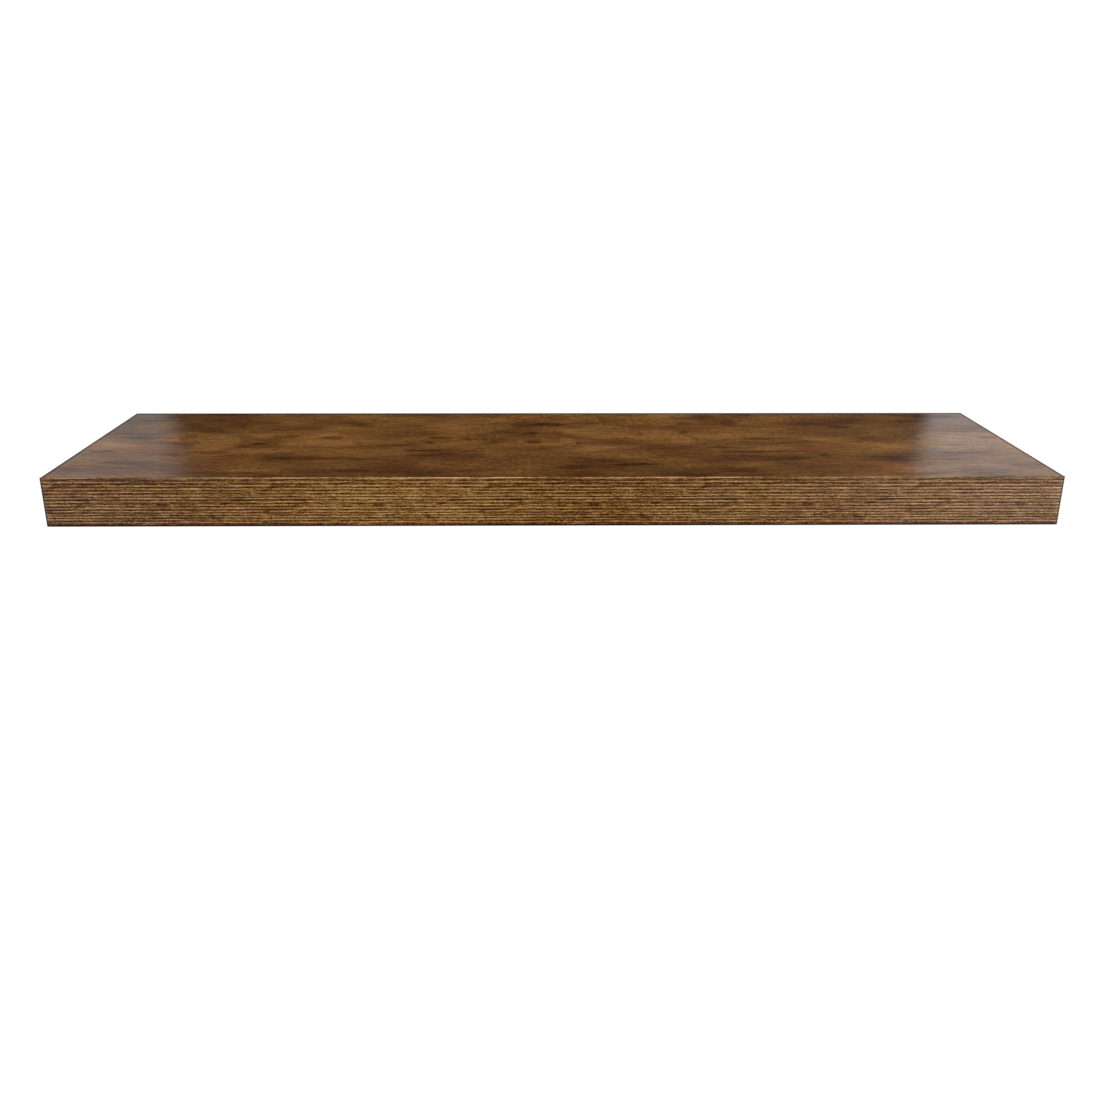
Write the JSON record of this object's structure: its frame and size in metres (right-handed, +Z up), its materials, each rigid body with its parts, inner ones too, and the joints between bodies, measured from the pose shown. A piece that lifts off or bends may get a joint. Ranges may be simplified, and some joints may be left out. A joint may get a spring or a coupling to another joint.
{
  "type": "floating wall shelf",
  "caption": "Straight floating wall shelf: a hollow wood-look board with ribbed edging that slides onto the rods of a hidden steel wall bracket.",
  "frame": {"origin": "on the wall plane, at the middle of the board's length and of its thickness, on the line of the bracket's screw holes", "axes": "+X along the wall to the right as seen from the room, +Y into the wall (the front edge faces -Y), +Z up"},
  "size_m": [0.9, 0.25, 0.045],
  "materials": {
    "printed_foil": "satin",
    "ribbed_edging": "satin",
    "fibreboard": "matte",
    "particleboard": "matte",
    "kraft_honeycomb": "matte",
    "bracket_steel": "satin",
    "zinc_steel": "satin",
    "insert_brass": "satin"
  },
  "bodies": {
    "wall_bracket": {"bracket_plate": "bracket_steel", "left_rod": "bracket_steel", "middle_rod": "bracket_steel", "right_rod": "bracket_steel", "left_weld": "bracket_steel", "middle_weld": "bracket_steel", "right_weld": "bracket_steel"},
    "shelf_board": {"top_foil": "printed_foil", "top_panel": "fibreboard", "bottom_foil": "printed_foil", "bottom_panel": "fibreboard", "front_edging": "ribbed_edging", "left_edging": "ribbed_edging", "right_edging": "ribbed_edging", "front_rail": "particleboard", "back_rail": "particleboard", "left_end_rail": "particleboard", "right_end_rail": "particleboard", "left_rod_block": "particleboard", "middle_rod_block": "particleboard", "right_rod_block": "particleboard", "left_end_core": "kraft_honeycomb", "left_core": "kraft_honeycomb", "right_core": "kraft_honeycomb", "right_end_core": "kraft_honeycomb", "left_lock_insert": "insert_brass", "right_lock_insert": "insert_brass"},
    "left_lock": {"left_lock_screw": "zinc_steel"},
    "right_lock": {"right_lock_screw": "zinc_steel"}
  },
  "joints": [
    {"name": "board_slide", "type": "slide", "parent": "wall_bracket", "child": "shelf_board", "axis": [0, -1, 0], "range_m": [0, 0.16]},
    {"name": "left_lock_travel", "type": "slide", "parent": "shelf_board", "child": "left_lock", "axis": [0, 0, -1], "range_m": [0, 0.008]},
    {"name": "right_lock_travel", "type": "slide", "parent": "shelf_board", "child": "right_lock", "axis": [0, 0, -1], "range_m": [0, 0.008]}
  ]
}
